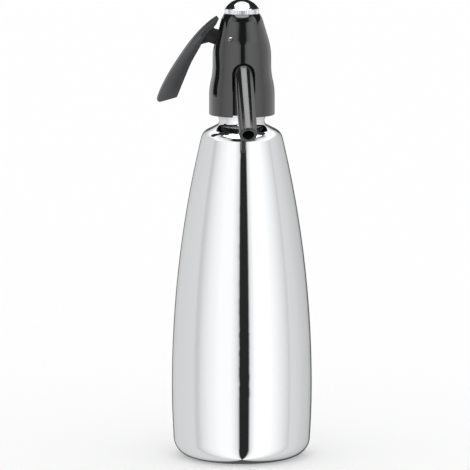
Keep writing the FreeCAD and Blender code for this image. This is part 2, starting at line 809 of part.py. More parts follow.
bonnet = turned("bonnet blank", [
    ("bonnet_bore", "ear_top"),
    ("bonnet_radius", "ear_top"),
    ("bonnet_radius", "bonnet_flange_top"),
    ("bonnet_barrel_radius", "bonnet_flange_top"),
    ("bonnet_barrel_radius", "shroud_top"),
    ("stud_radius", "shroud_top"),
    ("stud_radius", "stud_top"),
    ("0", "stud_top"),
    ("0", "bonnet_roof"),
    ("bonnet_bore", "bonnet_roof"),
])
thread(bonnet, "stud_radius", "0.6", "shroud_top + 1.6", "stud_top + 1")
SCREW_SIDES = ("-screw_y", "screw_y")
keep(cut("spring_bonnet", bonnet, *[
    rod(f"bonnet screw hole {side}", "screw_radius", "ear_top - 1", "bonnet_flange_top + 1", "up",
        ("screw_x", side, "0"))
    for side in SCREW_SIDES
]))
screw = turned("bonnet screw", [
    ("0", "screw_bottom"),
    ("screw_radius", "screw_bottom"),
    ("screw_radius", "bonnet_flange_top"),
    ("screw_head_radius", "bonnet_flange_top"),
    ("screw_head_radius", "screw_top", "1.9"),
    ("screw_head_radius - 1.2", "screw_top + 0.6"),
    ("0", "screw_top + 0.6"),
])
screws = doc.addObject("Part::Compound", "screws")
screws.Label = "bonnet_screws"
screw_places = []
for side in SCREW_SIDES:
    spare = doc.addObject("Part::Feature", "screw")
    spare.Label = f"bonnet screw {side}"
    spare.Shape = screw.Shape
    spare.setExpression("Placement.Base.x", cells("screw_x"))
    spare.setExpression("Placement.Base.y", cells(side))
    screw_places.append(spare)
screws.Links = screw_places
keep(screws)

coil_bottom = value("collar_top + spring_wire_radius + 0.05")
coil_top = value("bonnet_roof - spring_wire_radius - 0.05")
helix = Part.makeHelix(
    (coil_top - coil_bottom) / value("spring_turns"), coil_top - coil_bottom, value("spring_coil_radius")
)
wire_end = Part.Wire(Part.makeCircle(
    value("spring_wire_radius"), FreeCAD.Vector(value("spring_coil_radius"), 0, 0), FreeCAD.Vector(0, 1, 0)
))
spring = doc.addObject("Part::Feature", "spring")
spring.Label = "valve_spring"
spring.Shape = Part.Wire(helix).makePipeShell([wire_end], True, True)
spring.Placement = FreeCAD.Placement(FreeCAD.Vector(0, 0, coil_bottom), FreeCAD.Rotation())
keep(spring)

# Cap: knurled ring screwed on the stud, with a hollow dome on it

cap_ring = turned("cap_ring", [
    ("stud_radius + 0.05", "0"),
    ("cap_ring_radius - 0.4", "0"),
    ("cap_ring_radius", "0.4"),
    ("cap_ring_radius", "cap_ring_top - shroud_top - 0.4"),
    ("cap_ring_radius - 0.4", "cap_ring_top - shroud_top"),
    ("stud_radius + 0.05", "cap_ring_top - shroud_top"),
])
around(
    cap_ring,
    [
        ("cap_ring_radius - knurl_depth", "0"),
        ("cap_ring_radius + 0.2", "-0.5"),
        ("cap_ring_radius + 0.2", "0.5"),
    ],
    "cap_ring_top - shroud_top + 1",
    "knurl_count",
)
aim(cap_ring, "up", ("0", "0", "shroud_top"))
keep(cap_ring)
dome_rise = "dome_top - cap_ring_top"
dome_inner = "dome_base_radius - dome_wall"
keep(turned("cap_dome", [
    (dome_inner, "cap_ring_top"),
    ("dome_base_radius", "cap_ring_top", dome_curve("dome_base_radius", dome_rise)),
    ("0", "dome_top"),
    ("0", "dome_top - dome_wall", f"-({dome_curve(dome_inner, dome_rise + ' - dome_wall')})"),
]))

# Lever handle: curved channel, wider towards its end, open towards the head

handle_outline = [
    ("-59.0", "255.6"),
    ("-46.6", "259.5", "0.9"),
    ("-45.9", "260.8", "-200"),
    ("-29.4", "296.3", "-16"),
    ("-26.5", "303.3", "-14"),
    ("-18.8", "307.2"),
    ("-18.8", "309.3"),
    ("-16.6", "315.2", "0.9"),
    ("-17.9", "316.4", "89.1"),
    ("-37.2", "297.8", "180"),
    ("-60.5", "257.4", "1.5"),
]
channel_outline = [
    ("-56.6", "258.6"),
    ("-43.0", "258.6"),
    ("-25.0", "296.3"),
    ("-16.0", "301.0"),
    ("-16.0", "309.6"),
    ("-20.4", "311.4", "86.7"),
    ("-35.4", "296.4", "177.6"),
]
taper = [
    ("-handle_tip_half", "handle_tip_height"),
    ("handle_tip_half", "handle_tip_height"),
    ("handle_nose_half", "handle_nose_height"),
    ("-handle_nose_half", "handle_nose_height"),
]
inner_taper = [
    ("-handle_tip_half + handle_side_wall", "handle_tip_height"),
    ("handle_tip_half - handle_side_wall", "handle_tip_height"),
    ("handle_nose_half - handle_side_wall", "handle_nose_height"),
    ("-handle_nose_half + handle_side_wall", "handle_nose_height"),
]
handle_blank = common(
    "handle blank",
    padded("handle side", "XZ_Plane", handle_outline, "handle_blank_half"),
    padded("handle taper", "YZ_Plane", taper, "80"),
)
RIVET_PLACES = (("-25.6", "307.0"), ("-33.0", "299.0"))
channel = common(
    "handle channel",
    padded("channel side", "XZ_Plane", channel_outline, "handle_blank_half"),
    padded("channel taper", "YZ_Plane", inner_taper, "80"),
)
keep(cut("lever_handle", handle_blank, channel, *[
    rod(f"handle rivet hole {number}", "rivet_radius", "-5.65", "5.65", "back", (x, "0", z))
    for number, (x, z) in enumerate(RIVET_PLACES, start=1)
]))

# Lever fork: web inside the handle and through the slot, hub on the pin, two tines under the collar

web_outline = [
    ("-34.6", "294.4"),
    ("-29.0", "296.6"),
    ("-24.0", "298.0"),
    ("-19.4", "296.4"),
    ("-10.0", "298.3"),
    ("-9.0", "303.8"),
    ("-17.2", "306.8"),
    ("-18.9", "307.0"),
    ("-21.4", "310.0"),
    ("-30.0", "302.6"),
    ("-36.2", "294.8"),
]
web = padded("fork web", "XZ_Plane", web_outline, "web_half_width - 0.35")
hub = rod("fork hub", "hub_radius", "-hub_half_width", "hub_half_width", "back", PIVOT_AXIS)
tines = []
for name, near, far in (("front", "-tine_outer", "-tine_inner"), ("back", "tine_inner", "tine_outer")):
    tines.append(block(
        f"{name} tine",
        ("-pivot_offset", near, "pivot_height - tine_half_height"),
        ("0", far, "pivot_height + tine_half_height"),
    ))
    tines.append(rod(f"{name} pad", "tine_pad_radius", near, far, "back", ("0", "0", "pivot_height")))
keep(cut(
    "lever_fork",
    fused("fork blank", web, hub, *tines),
    rod("fork bore", "pin_radius + pin_clearance", "-9", "9", "back", PIVOT_AXIS),
    *[
        rod(f"fork rivet hole {number}", "rivet_radius", "-6", "6", "back", (x, "0", z))
        for number, (x, z) in enumerate(RIVET_PLACES, start=1)
    ],
))
rivets = doc.addObject("Part::Compound", "rivets")
rivets.Label = "lever_rivets"
rivets.Links = [
    rod(f"lever rivet {number}", "rivet_radius - 0.01", "-5.6", "5.6", "back", (x, "0", z))
    for number, (x, z) in enumerate(RIVET_PLACES, start=1)
]
keep(rivets)
pin_body = turned("pivot_pin", [
    ("0", "-pin_half_length"),
    ("pin_radius - 0.3", "-pin_half_length"),
    ("pin_radius - 0.01", "-pin_half_length + 0.3"),
    ("pin_radius - 0.01", "pin_half_length - 0.3"),
    ("pin_radius - 0.3", "pin_half_length"),
    ("0", "pin_half_length"),
])
aim(pin_body, "back", PIVOT_AXIS)
keep(pin_body)

# Gas inlet: threaded nipple with seal and hollow piercing pin, one-way valve in the passage below

nipple = turned("inlet_nipple", [
    ("gas_bore", "inlet_tail_start"),
    ("inlet_tail_radius", "inlet_tail_start"),
    ("inlet_tail_radius", "inlet_boss_end"),
    ("inlet_flange_radius", "inlet_boss_end"),
    ("inlet_flange_radius", "inlet_flange_end"),
    ("inlet_thread_radius", "inlet_flange_end"),
    ("inlet_thread_radius", "inlet_end"),
    ("inlet_bore", "inlet_end"),
    ("inlet_bore", "inlet_seal_start"),
    ("piercer_radius", "inlet_seal_start"),
    ("piercer_radius", "piercer_start"),
    ("gas_bore", "piercer_start"),
])
thread(nipple, "inlet_thread_radius", "0.7", "inlet_flange_end + 1.4", "inlet_end + 1.2")
aim(nipple, "back", INLET_AXIS)
keep(nipple)
keep(aim(
    tube("inlet_seal", "inlet_bore", "piercer_radius + 0.02", "inlet_seal_start", "inlet_seal_end"),
    "back", INLET_AXIS,
))
piercer = turned("piercing_pin", [
    ("0.35", "piercer_start"),
    ("piercer_radius - 0.01", "piercer_start"),
    ("piercer_radius - 0.01", "inlet_seal_end - 0.2"),
    ("0.8", "inlet_seal_end - 0.2"),
    ("0.8", "piercer_point - 1.2"),
    ("0.45", "piercer_point"),
    ("0.35", "piercer_point"),
])
aim(piercer, "back", INLET_AXIS)
keep(piercer)
check = turned("check_valve", [
    ("0.5", "ceiling_height - 2.2"),
    ("1.3", "ceiling_height - 2.2"),
    ("2.4", "ceiling_height - 1"),
    ("2.4", "ceiling_height"),
    ("gas_bore - 0.01", "ceiling_height"),
    ("gas_bore - 0.01", "ceiling_height + 4"),
    ("0.5", "ceiling_height + 4"),
])
aim(check, "up", ("0", "gas_passage", "0"))
keep(check)

# Relief valve: burst disc held by a hollow screw

keep(rod("relief_disc", "relief_bore - 0.02", "relief_seat", "relief_seat + 0.4", "right", RELIEF_AXIS))
relief = turned("relief_plug", [
    ("1", "relief_seat + 0.4"),
    ("relief_bore - 0.02", "relief_seat + 0.4"),
    ("relief_bore - 0.02", "relief_boss_end"),
    ("relief_boss_radius - 0.4", "relief_boss_end"),
    ("relief_boss_radius - 0.4", "relief_head_end"),
    ("1", "relief_head_end"),
])
aim(relief, "right", RELIEF_AXIS)
keep(relief)

# Charger holder with its threaded insert, and the gas charger in it, its neck already pierced

holder = turned("charger_holder", [
    ("holder_insert_radius", "0"),
    ("holder_radius - 0.6", "0"),
    ("holder_radius", "0.6"),
    ("holder_radius", "14"),
    ("holder_tail_radius", "holder_end - holder_start - 6", "6"),
    ("holder_tail_radius - 6", "holder_end - holder_start"),
    ("0", "holder_end - holder_start"),
    ("0", "holder_end - holder_start - 3"),
    ("holder_bore - 4", "holder_end - holder_start - 3"),
    ("holder_bore", "holder_end - holder_start - 8"),
    ("holder_bore", "holder_insert_end - holder_start"),
    ("holder_insert_radius", "holder_insert_end - holder_start"),
])
around(
    holder,
    [
        ("holder_radius - 0.7", "0", "2.4"),
        ("holder_radius + 0.4", "-1.8"),
        ("holder_radius + 0.4", "1.8", "2.4"),
    ],
    "13",
    "flute_count",
)
aim(holder, "back", INLET_AXIS, "holder_start")
keep(holder)
keep(aim(
    tube(
        "holder_insert", "holder_insert_radius", "inlet_thread_radius + thread_clearance",
        "holder_start", "holder_insert_end",
    ),
    "back", INLET_AXIS,
))
bulb = turned("charger", [
    ("1", "charger_start"),
    ("charger_neck_radius", "charger_start"),
    ("charger_neck_radius", "charger_start + 7", "-3"),
    ("charger_neck_radius + 1.6", "charger_start + 9.4"),
    ("charger_radius - 1", "charger_start + 13", "5"),
    ("charger_radius", "charger_start + 16"),
    ("charger_radius", "charger_end - 9", "charger_radius"),
    ("0", "charger_end"),
    ("0", "charger_end - charger_wall", "charger_wall - charger_radius"),
    ("charger_radius - charger_wall", "charger_end - 9"),
    ("charger_radius - charger_wall", "charger_start + 16"),
    ("charger_neck_radius - charger_wall", "charger_start + 9"),
    ("charger_neck_radius - charger_wall", "charger_start + 2"),
    ("1", "charger_start + 2"),
])
aim(bulb, "back", INLET_AXIS)
keep(bulb)

# Check everything, then write one file for each piece

doc.recompute()
for item in doc.Objects:
    if "Invalid" in item.State or "Error" in item.State:
        raise RuntimeError(f"{item.Label} failed: {item.State}")
for item in pieces:
    if item.Shape.isNull() or not item.Shape.isValid():
        raise RuntimeError(f"{item.Label} has no valid shape")

os.makedirs("parts", exist_ok=True)
for item in pieces:
    item.Shape.exportStep(f"parts/{item.Label}.step")
    print(f"{item.Label}: {len(item.Shape.Solids)} solid, {item.Shape.Volume:.0f} mm3")
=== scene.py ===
"""Soda siphon of one litre: mirror-polished bottle, gloss black head, side lever and sloping spout."""
import bpy
import math
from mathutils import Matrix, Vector


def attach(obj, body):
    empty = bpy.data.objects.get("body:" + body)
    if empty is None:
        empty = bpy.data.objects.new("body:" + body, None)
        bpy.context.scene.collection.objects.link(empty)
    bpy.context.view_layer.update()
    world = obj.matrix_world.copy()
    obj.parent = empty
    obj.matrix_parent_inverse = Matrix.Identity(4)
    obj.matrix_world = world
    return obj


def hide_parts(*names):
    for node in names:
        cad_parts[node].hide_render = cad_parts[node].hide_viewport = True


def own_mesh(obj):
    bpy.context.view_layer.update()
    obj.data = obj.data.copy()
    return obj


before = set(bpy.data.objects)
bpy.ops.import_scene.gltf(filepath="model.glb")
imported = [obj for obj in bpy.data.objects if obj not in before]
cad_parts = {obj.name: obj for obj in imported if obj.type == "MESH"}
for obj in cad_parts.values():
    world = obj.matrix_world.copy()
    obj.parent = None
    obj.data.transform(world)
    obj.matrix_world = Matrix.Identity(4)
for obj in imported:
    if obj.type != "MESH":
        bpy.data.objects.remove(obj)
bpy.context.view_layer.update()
MM = 0.001

# Bottle: one litre, deep-drawn and spun stainless steel, necked in at the top.
# Polished to a mirror, so it shows the studio; the wheel leaves hair-fine rings round it, which just
# break the reflections, and hands leave faint smears that dull it in places.


def linear(hex_colour):
    """Linear RGBA of an sRGB hex colour."""
    channels = [int(hex_colour[place:place + 2], 16) / 255 for place in (1, 3, 5)]
    return [c / 12.92 if c <= 0.04045 else ((c + 0.055) / 1.055) ** 2.4 for c in channels] + [1.0]


def add(tree, kind, settings=(), inputs=(), links=()):
    """Add a node; settings are its properties, inputs its values, links what feeds its sockets."""
    node = tree.nodes.new(kind)
    for name, setting in dict(settings).items():
        setattr(node, name, setting)
    for name, number in dict(inputs).items():
        node.inputs[name].default_value = number
    for name, source in dict(links).items():
        tree.links.new(source, node.inputs[name])
    return node


def finish_of(name, colour, metallic, roughness, ior=1.5, coat=0.0):
    """New material, its node tree and its main shader."""
    material = bpy.data.materials.new(name)
    material.use_nodes = True
    shader = material.node_tree.nodes["Principled BSDF"]
    shader.inputs["Base Color"].default_value = linear(colour)
    shader.inputs["Metallic"].default_value = metallic
    shader.inputs["Roughness"].default_value = roughness
    shader.inputs["Coat Weight"].default_value = coat
    if not metallic:
        shader.inputs["IOR"].default_value = ior
    return material, material.node_tree, shader


def grain(tree, size_mm, stretch=(1, 1, 1), detail=2.0):
    """Noise with grains of a real size; a higher stretch packs them closer along that axis."""
    place = add(tree, "ShaderNodeTexCoord").outputs["Object"]
    spread = add(tree, "ShaderNodeMapping", inputs={"Scale": stretch}, links={"Vector": place})
    return add(
        tree, "ShaderNodeTexNoise",
        inputs={"Scale": 1 / (size_mm * MM), "Detail": detail},
        links={"Vector": spread.outputs["Vector"]},
    ).outputs["Fac"]


def vary_roughness(tree, shader, pattern, low, high):
    """Let a pattern move the roughness between two values."""
    spread = add(
        tree, "ShaderNodeMapRange",
        inputs={"From Min": 0.3, "From Max": 0.7, "To Min": low, "To Max": high},
        links={"Value": pattern},
    )
    tree.links.new(spread.outputs["Result"], shader.inputs["Roughness"])


def emboss(tree, shader, pattern, height_mm, strength):
    """Raise a pattern by a real height."""
    bump = add(
        tree, "ShaderNodeBump", inputs={"Strength": strength, "Distance": height_mm * MM},
        links={"Height": pattern},
    )
    tree.links.new(bump.outputs["Normal"], shader.inputs["Normal"])


def dress(material, *nodes):
    """Give carried-over pieces their material."""
    for node in nodes:
        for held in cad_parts[node].material_slots:
            held.material = material


mirror_steel, tree, shader = finish_of("mirror_polished_stainless_steel", "#D4D5D6", 1.0, 0.03)
vary_roughness(tree, shader, grain(tree, 30, detail=3), 0.02, 0.05)
# The rings are drawn 0.5 mm apart, coarser than in life
emboss(tree, shader, grain(tree, 9, (0.2, 0.2, 18)), 0.0003, 0.1)
dress(mirror_steel, "bottle_shell")

# Neck ring: turned stainless ring pressed into the bottle's neck, with the thread for the head.
# Bright from the lathe, with close turning marks round it that draw the light out into a soft band.

turned_steel, tree, shader = finish_of("turned_stainless_steel", "#C9CACC", 1.0, 0.12)
vary_roughness(tree, shader, grain(tree, 8, (1, 1, 12)), 0.08, 0.18)
emboss(tree, shader, grain(tree, 3, (0.4, 0.4, 14)), 0.004, 0.5)
dress(turned_steel, "neck_ring")

# Valve body and its flat gasket: aluminium die casting and black nitrile rubber.
# The casting's black is painted shade, which keeps the slot round the spout dark; its surface is satin
# over the casting's fine skin. The rubber, here and in every seal, is dull.

shade_black_casting, tree, shader = finish_of("die_casting_black_as_painted_shade", "#111213", 0.0, 0.42)
vary_roughness(tree, shader, grain(tree, 4, detail=4), 0.34, 0.5)
emboss(tree, shader, grain(tree, 0.9, detail=4), 0.02, 0.6)
dress(shade_black_casting, "valve_body")

nitrile, tree, shader = finish_of("moulded_nitrile_rubber", "#161617", 0.0, 0.6)
vary_roughness(tree, shader, grain(tree, 2), 0.5, 0.72)
emboss(tree, shader, grain(tree, 0.5), 0.008, 0.5)
dress(
    nitrile, "head_gasket", "spout_o_ring", "riser_o_ring", "stem_o_ring", "inlet_seal", "valve_washer",
)

# Shroud: injection-moulded ABS cover, black right through, lacquered, waisted to suit the hand.
# Nearly mirror smooth, with the slight waviness of a moulded skin and a few dull handled patches.

lacquered_abs, tree, shader = finish_of("lacquered_black_abs", "#141516", 0.0, 0.1, 1.54, 0.5)
vary_roughness(tree, shader, grain(tree, 14, detail=3), 0.07, 0.13)
emboss(tree, shader, grain(tree, 5), 0.004, 0.4)
dress(lacquered_abs, "shroud")

# Spout: moulded tube pressed in a socket and held by a cross pin, its mouth rounded over.
# The shroud's black without lacquer, kept glossy by wiping.

wiped_abs, tree, shader = finish_of("wiped_black_abs", "#1B1C1D", 0.0, 0.1, 1.56)
vary_roughness(tree, shader, grain(tree, 8, detail=3), 0.07, 0.14)
emboss(tree, shader, grain(tree, 4), 0.003, 0.4)
dress(wiped_abs, "spout_tube")

# Small steel parts: lever's pin, spout's cross pin, screws, rivets, stem, spring and piercing pin.
# Ground or drawn bright steel, with fine marks that soften its shine.

ground_steel, tree, shader = finish_of("ground_steel", "#CFD0D2", 1.0, 0.16)
vary_roughness(tree, shader, grain(tree, 2, (1, 6, 1)), 0.1, 0.24)
emboss(tree, shader, grain(tree, 0.8, (1, 8, 1)), 0.003, 0.5)
dress(
    ground_steel, "pivot_pin", "spout_pin", "bonnet_screws", "lever_rivets", "valve_stem",
    "valve_spring", "piercing_pin",
)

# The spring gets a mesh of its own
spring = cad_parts["valve_spring"]
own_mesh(spring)

# Riser tube, its strainer and the measuring tube: extruded and moulded natural polypropylene.
# Milky and slightly see-through, so it is drawn with light passing under its skin.

milky_plastic, tree, shader = finish_of("natural_polypropylene", "#E4E3DC", 0.0, 0.35)
shader.inputs["Subsurface Weight"].default_value = 0.3
shader.inputs["Subsurface Radius"].default_value = (0.004, 0.004, 0.003)
vary_roughness(tree, shader, grain(tree, 6, (1, 1, 0.3)), 0.28, 0.42)
emboss(tree, shader, grain(tree, 3, (1, 1, 0.2)), 0.006, 0.5)
dress(milky_plastic, "riser_tube", "riser_strainer", "measuring_tube")

# Brass parts: valve seat, gland plug, bonnet, collar, screws, burst disc, nipple, holder's insert.
# Turned, yellow and bright, browned a little where hands and water have been.

turned_brass, tree, shader = finish_of("turned_brass", "#C7A560", 1.0, 0.2)
tarnish = add(
    tree, "ShaderNodeMix", {"data_type": "RGBA"},
    {"A": linear("#CFAE68"), "B": linear("#9C7C45")},
    {"Factor": grain(tree, 7, detail=5)},
)
tree.links.new(tarnish.outputs["Result"], shader.inputs["Base Color"])
vary_roughness(tree, shader, grain(tree, 3, (1, 1, 8)), 0.14, 0.3)
emboss(tree, shader, grain(tree, 1.5, (0.5, 0.5, 10)), 0.004, 0.5)
dress(
    turned_brass, "valve_seat", "gland_plug", "spring_bonnet", "stem_collar", "washer_screw",
    "relief_plug", "relief_disc", "inlet_nipple", "holder_insert",
)

# Check valve: one-way valve in the gas passage, moulded in red silicone.
# Waxy and dull, with a little light passing under its skin.

silicone, tree, shader = finish_of("red_silicone", "#8E2C22", 0.0, 0.48)
shader.inputs["Subsurface Weight"].default_value = 0.15
vary_roughness(tree, shader, grain(tree, 1.5), 0.4, 0.58)
emboss(tree, shader, grain(tree, 0.6), 0.006, 0.4)
dress(silicone, "check_valve")

# Cap: hollow dome on a knurled ring, brass with chrome plating, screwed on the bonnet's stud.
# The dome is bright, a touch darker and bluer than the bottle; the ring is satin, so it stays pale.

chrome_plate, tree, shader = finish_of("bright_chrome_plate", "#CDD0D3", 1.0, 0.05)
vary_roughness(tree, shader, grain(tree, 3, detail=3), 0.03, 0.09)
emboss(tree, shader, grain(tree, 4), 0.002, 0.3)
dress(chrome_plate, "cap_dome")

satin_chrome, tree, shader = finish_of("satin_chrome_plate", "#DADCDE", 1.0, 0.3)
vary_roughness(tree, shader, grain(tree, 2, detail=3), 0.24, 0.36)
emboss(tree, shader, grain(tree, 1), 0.003, 0.4)
dress(satin_chrome, "cap_ring")

# Lever handle: moulded black channel riveted over the fork, deeper and wider towards its closed tip.
# Its back is rounded and its sides lean in towards it. The gloss is rubbed a little duller by fingers.

HANDLE_WALL = 2.2
THINNEST_HALF = 0.8
BACK_ROUND = 2.0
BACK_ROUND_STEPS = 4
BACK_CROWN = 0.25
RIM_CUT = 0.5
SIDE_LEAN = 0.1
TIP_STARTS = 0.9
TIP_HOLLOW = 0.6
STEPS_PER_STATION = 6
# Stations from nose to tip: outer edge (x, z), inner edge (x, z) and half width, all in millimetres
STATIONS = [
    ((-17.8, 316.3), (-16.6, 314.9), 5.6),
    ((-22.6, 313.0), (-19.4, 309.8), 6.0),
    ((-29.8, 306.4), (-25.9, 303.0), 6.4),
    ((-37.2, 297.8), (-30.3, 294.6), 6.9),
    ((-43.4, 289.1), (-36.0, 284.6), 7.4),
    ((-49.1, 280.4), (-40.2, 275.0), 7.9),
    ((-54.2, 271.7), (-43.8, 266.4), 8.3),
    ((-58.4, 263.0), (-45.9, 261.2), 8.5),
    ((-60.2, 257.4), (-46.6, 259.7), 8.6),
    ((-59.0, 255.9), (-47.4, 259.3), 8.5),
]


def between(before, start, end, after, part):
    """Number part of the way from start to end, on a smooth curve through its neighbours too."""
    bend = 2 * before - 5 * start + 4 * end - after
    twist = -before + 3 * start - 3 * end + after
    return start + 0.5 * part * (end - before + part * (bend + part * twist))


def stations_between(stations, steps):
    """Finer stations through the given ones."""
    rows = [[*outer, *inner, half] for outer, inner, half in stations]
    fine = []
    for place in range(len(rows) - 1):
        before, after = rows[max(place - 1, 0)], rows[min(place + 2, len(rows) - 1)]
        four = [before, rows[place], rows[place + 1], after]
        for step in range(steps):
            fine.append([between(*numbers, step / steps) for numbers in zip(*four)])
    return fine + [rows[-1]]


def channel_section(half, depth, roof):
    """Closed outline of the channel as (across, depth) points, from inside one wall round the back."""
    back = half - SIDE_LEAN * depth
    wall = min(HANDLE_WALL, back - THINNEST_HALF)
    easing = min(BACK_ROUND, depth * 0.4)
    right = [(half - wall, roof), (half - wall, depth - RIM_CUT), (half - wall + RIM_CUT, depth)]
    right += [(half - RIM_CUT, depth), (half, depth - RIM_CUT)]
    right += [(half - SIDE_LEAN * depth * share, depth * (1 - share)) for share in (0.33, 0.62)]
    for step in range(BACK_ROUND_STEPS + 1):
        turn = step / BACK_ROUND_STEPS * math.pi / 2
        right.append((back - easing * (1 - math.cos(turn)), easing * (1 - math.sin(turn))))
    right.append((back * 0.35, -BACK_CROWN))
    left = [(-across, down) for across, down in reversed(right)]
    return right + left


handle_rings = []
fine_stations = stations_between(STATIONS, STEPS_PER_STATION)
for number, (outer_x, outer_z, inner_x, inner_z, half) in enumerate(fine_stations):
    outer = Vector((outer_x, 0, outer_z))
    inward = Vector((inner_x, 0, inner_z)) - outer
    depth = inward.length
    inward.normalize()
    share = number / (len(fine_stations) - 1)
    roof = depth - TIP_HOLLOW if share > TIP_STARTS else min(HANDLE_WALL, depth * 0.62)
    section = channel_section(half, depth, roof)
    handle_rings.append([
        (outer + inward * down + Vector((0, across, 0))) * MM for across, down in section
    ])

corners = [corner for ring in handle_rings for corner in ring]
round_count = len(handle_rings[0])
faces = []
for ring in range(len(handle_rings) - 1):
    for place in range(round_count):
        following = (place + 1) % round_count
        here, beyond = ring * round_count, (ring + 1) * round_count
        faces.append((here + place, here + following, beyond + following, beyond + place))
faces.append(tuple(reversed(range(round_count))))
faces.append(tuple(range(len(corners) - round_count, len(corners))))
handle_mesh = bpy.data.meshes.new("lever_handle_moulding")
handle_mesh.from_pydata(corners, [], faces)
handle = bpy.data.objects.new("lever_handle_moulding", handle_mesh)
bpy.context.collection.objects.link(handle)
for face in handle_mesh.polygons:
    face.use_smooth = True
rim_rounding = handle.modifiers.new("rounded rims", "BEVEL")
rim_rounding.width = 0.25 * MM
rim_rounding.segments = 2
rim_rounding.angle_limit = math.radians(50)
rim_rounding.harden_normals = True

rubbed_abs, tree, shader = finish_of("rubbed_black_abs", "#353638", 0.0, 0.2, 1.54)
vary_roughness(tree, shader, grain(tree, 10, detail=3), 0.15, 0.27)
emboss(tree, shader, grain(tree, 3), 0.005, 0.4)
handle_mesh.materials.append(rubbed_abs)
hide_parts("lever_handle")
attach(handle, "lever")

# Lever fork: steel web inside the handle, with the hub on the pin and two tines under the collar.
# Stove-enamelled black, duller than the shroud, with a slight orange-peel skin.

black_enamel, tree, shader = finish_of("black_stove_enamel", "#0F1010", 0.0, 0.3)
vary_roughness(tree, shader, grain(tree, 5), 0.24, 0.38)
emboss(tree, shader, grain(tree, 1.2), 0.01, 0.5)
dress(black_enamel, "lever_fork")

# Charger holder: moulded black sleeve with a fluted mouth, which screws the charger on the nipple.
# Satin, so that it grips, with a faint moulded grain.

satin_abs, tree, shader = finish_of("satin_black_abs", "#1C1D1E", 0.0, 0.26)
vary_roughness(tree, shader, grain(tree, 9, detail=3), 0.2, 0.34)
emboss(tree, shader, grain(tree, 0.7), 0.006, 0.5)
dress(satin_abs, "charger_holder")

# Charger: drawn steel gas bulb, already pierced, held in the holder.
# Zinc plated, with a soft grey spangle.

zinc_plate, tree, shader = finish_of("zinc_plated_steel", "#AEB1B5", 1.0, 0.3)
vary_roughness(tree, shader, grain(tree, 5, detail=4), 0.22, 0.4)
emboss(tree, shader, grain(tree, 1.5), 0.004, 0.5)
dress(zinc_plate, "charger")

# Floor: matt white paper, wide enough to fill every view, with the siphon's soft shadow on it.
# It stays out of reflections, as the photo's stripe runs down the whole bottle.

FLOOR_REACH = 6.0
paper, tree, shader = finish_of("white_seamless_paper", "#F7F7F7", 0.0, 0.9)
shader.inputs["Specular IOR Level"].default_value = 0.0
emboss(tree, shader, grain(tree, 2), 0.01, 0.2)
floor_mesh = bpy.data.meshes.new("paper_floor")
floor_mesh.from_pydata(
    [(x * FLOOR_REACH, y * FLOOR_REACH, 0) for x, y in ((-1, -1), (1, -1), (1, 1), (-1, 1))],
    [], [(0, 1, 2, 3)],
)
floor_mesh.materials.append(paper)
floor = bpy.data.objects.new("paper_floor", floor_mesh)
bpy.context.collection.objects.link(floor)
floor.visible_glossy = False

# Flag: matt black half ring of card behind the head, which draws the dark crescent in the dome.
# It is hidden from the camera and throws no shadow, so only reflections show it.

FLAG_RADIUS = 85 * MM
FLAG_FOOT = 334 * MM
FLAG_TOP = 460 * MM
FLAG_FROM = -8
FLAG_TURN = 196
FLAG_STEPS = 32
card, tree, shader = finish_of("matt_black_card", "#0A0A0A", 0.0, 0.9)
flag_corners = []
for step in range(FLAG_STEPS + 1):
    turn = math.radians(FLAG_FROM + step * FLAG_TURN / FLAG_STEPS)
    for height in (FLAG_FOOT, FLAG_TOP):
        flag_corners.append((FLAG_RADIUS * math.cos(turn), FLAG_RADIUS * math.sin(turn), height))
flag_mesh = bpy.data.meshes.new("black_flag")
flag_mesh.from_pydata(
    flag_corners, [],
    [(2 * step, 2 * step + 2, 2 * step + 3, 2 * step + 1) for step in range(FLAG_STEPS)],
)
flag_mesh.materials.append(card)
flag = bpy.data.objects.new("black_flag", flag_mesh)
bpy.context.collection.objects.link(flag)
flag.visible_camera = False
flag.visible_diffuse = False
flag.visible_shadow = False

# Studio: white all round. Polished pieces see tall soft panels with a dark gap at the front, a dim
# strip behind, and a long soft box overhead; the camera and the dull surfaces see plain white.

PLAIN_LEVEL = 1.07
PANEL_LEVEL = 2.0
OVERHEAD_LEVEL = 5.0
DIM_IN_FRONT = 0.12
DIM_BEHIND = 0.7
GAP_WIDENS_FROM = math.sin(math.radians(17))
GAP_WIDENS_TO = math.sin(math.radians(34))
GAP_NARROWING = 0.2
# Bearing in degrees from the front, towards the right, and the panel's brightness there
PANELS = [
    (-180, 0.1), (-169, 0.16), (-160, 0.75), (-138, 0.92), (-110, 0.98), (-91, 1.0), (-85, 0.85),
    (-80, 0.92), (-74, 1.08), (-60, 1.3), (-40, 1.48), (-22, 1.47), (-14, 1.25), (-9.0, 0.95),
    (-7.4, 0.03), (7.6, 0.03), (9.6, 1.05), (17, 1.45), (28, 1.62), (46, 1.5), (61, 1.3), (77, 1.02),
    (81, 0.9), (85, 1.02), (100, 0.98), (120, 0.85), (134, 0.78), (150, 0.6), (158, 0.1), (180, 0.12),
]
world = bpy.data.worlds.new("studio")
world.use_nodes = True
bpy.context.scene.world = world
tree = world.node_tree
tree.nodes.clear()
direction = add(tree, "ShaderNodeTexCoord").outputs["Generated"]
way = add(tree, "ShaderNodeSeparateXYZ", links={"Vector": direction})
toward_front = add(
    tree, "ShaderNodeMath", {"operation": "MULTIPLY"}, {1: -1.0}, {0: way.outputs["Y"]}
)
bearing = add(
    tree, "ShaderNodeMath", {"operation": "ARCTAN2"},
    links={0: way.outputs["X"], 1: toward_front.outputs[0]},
)
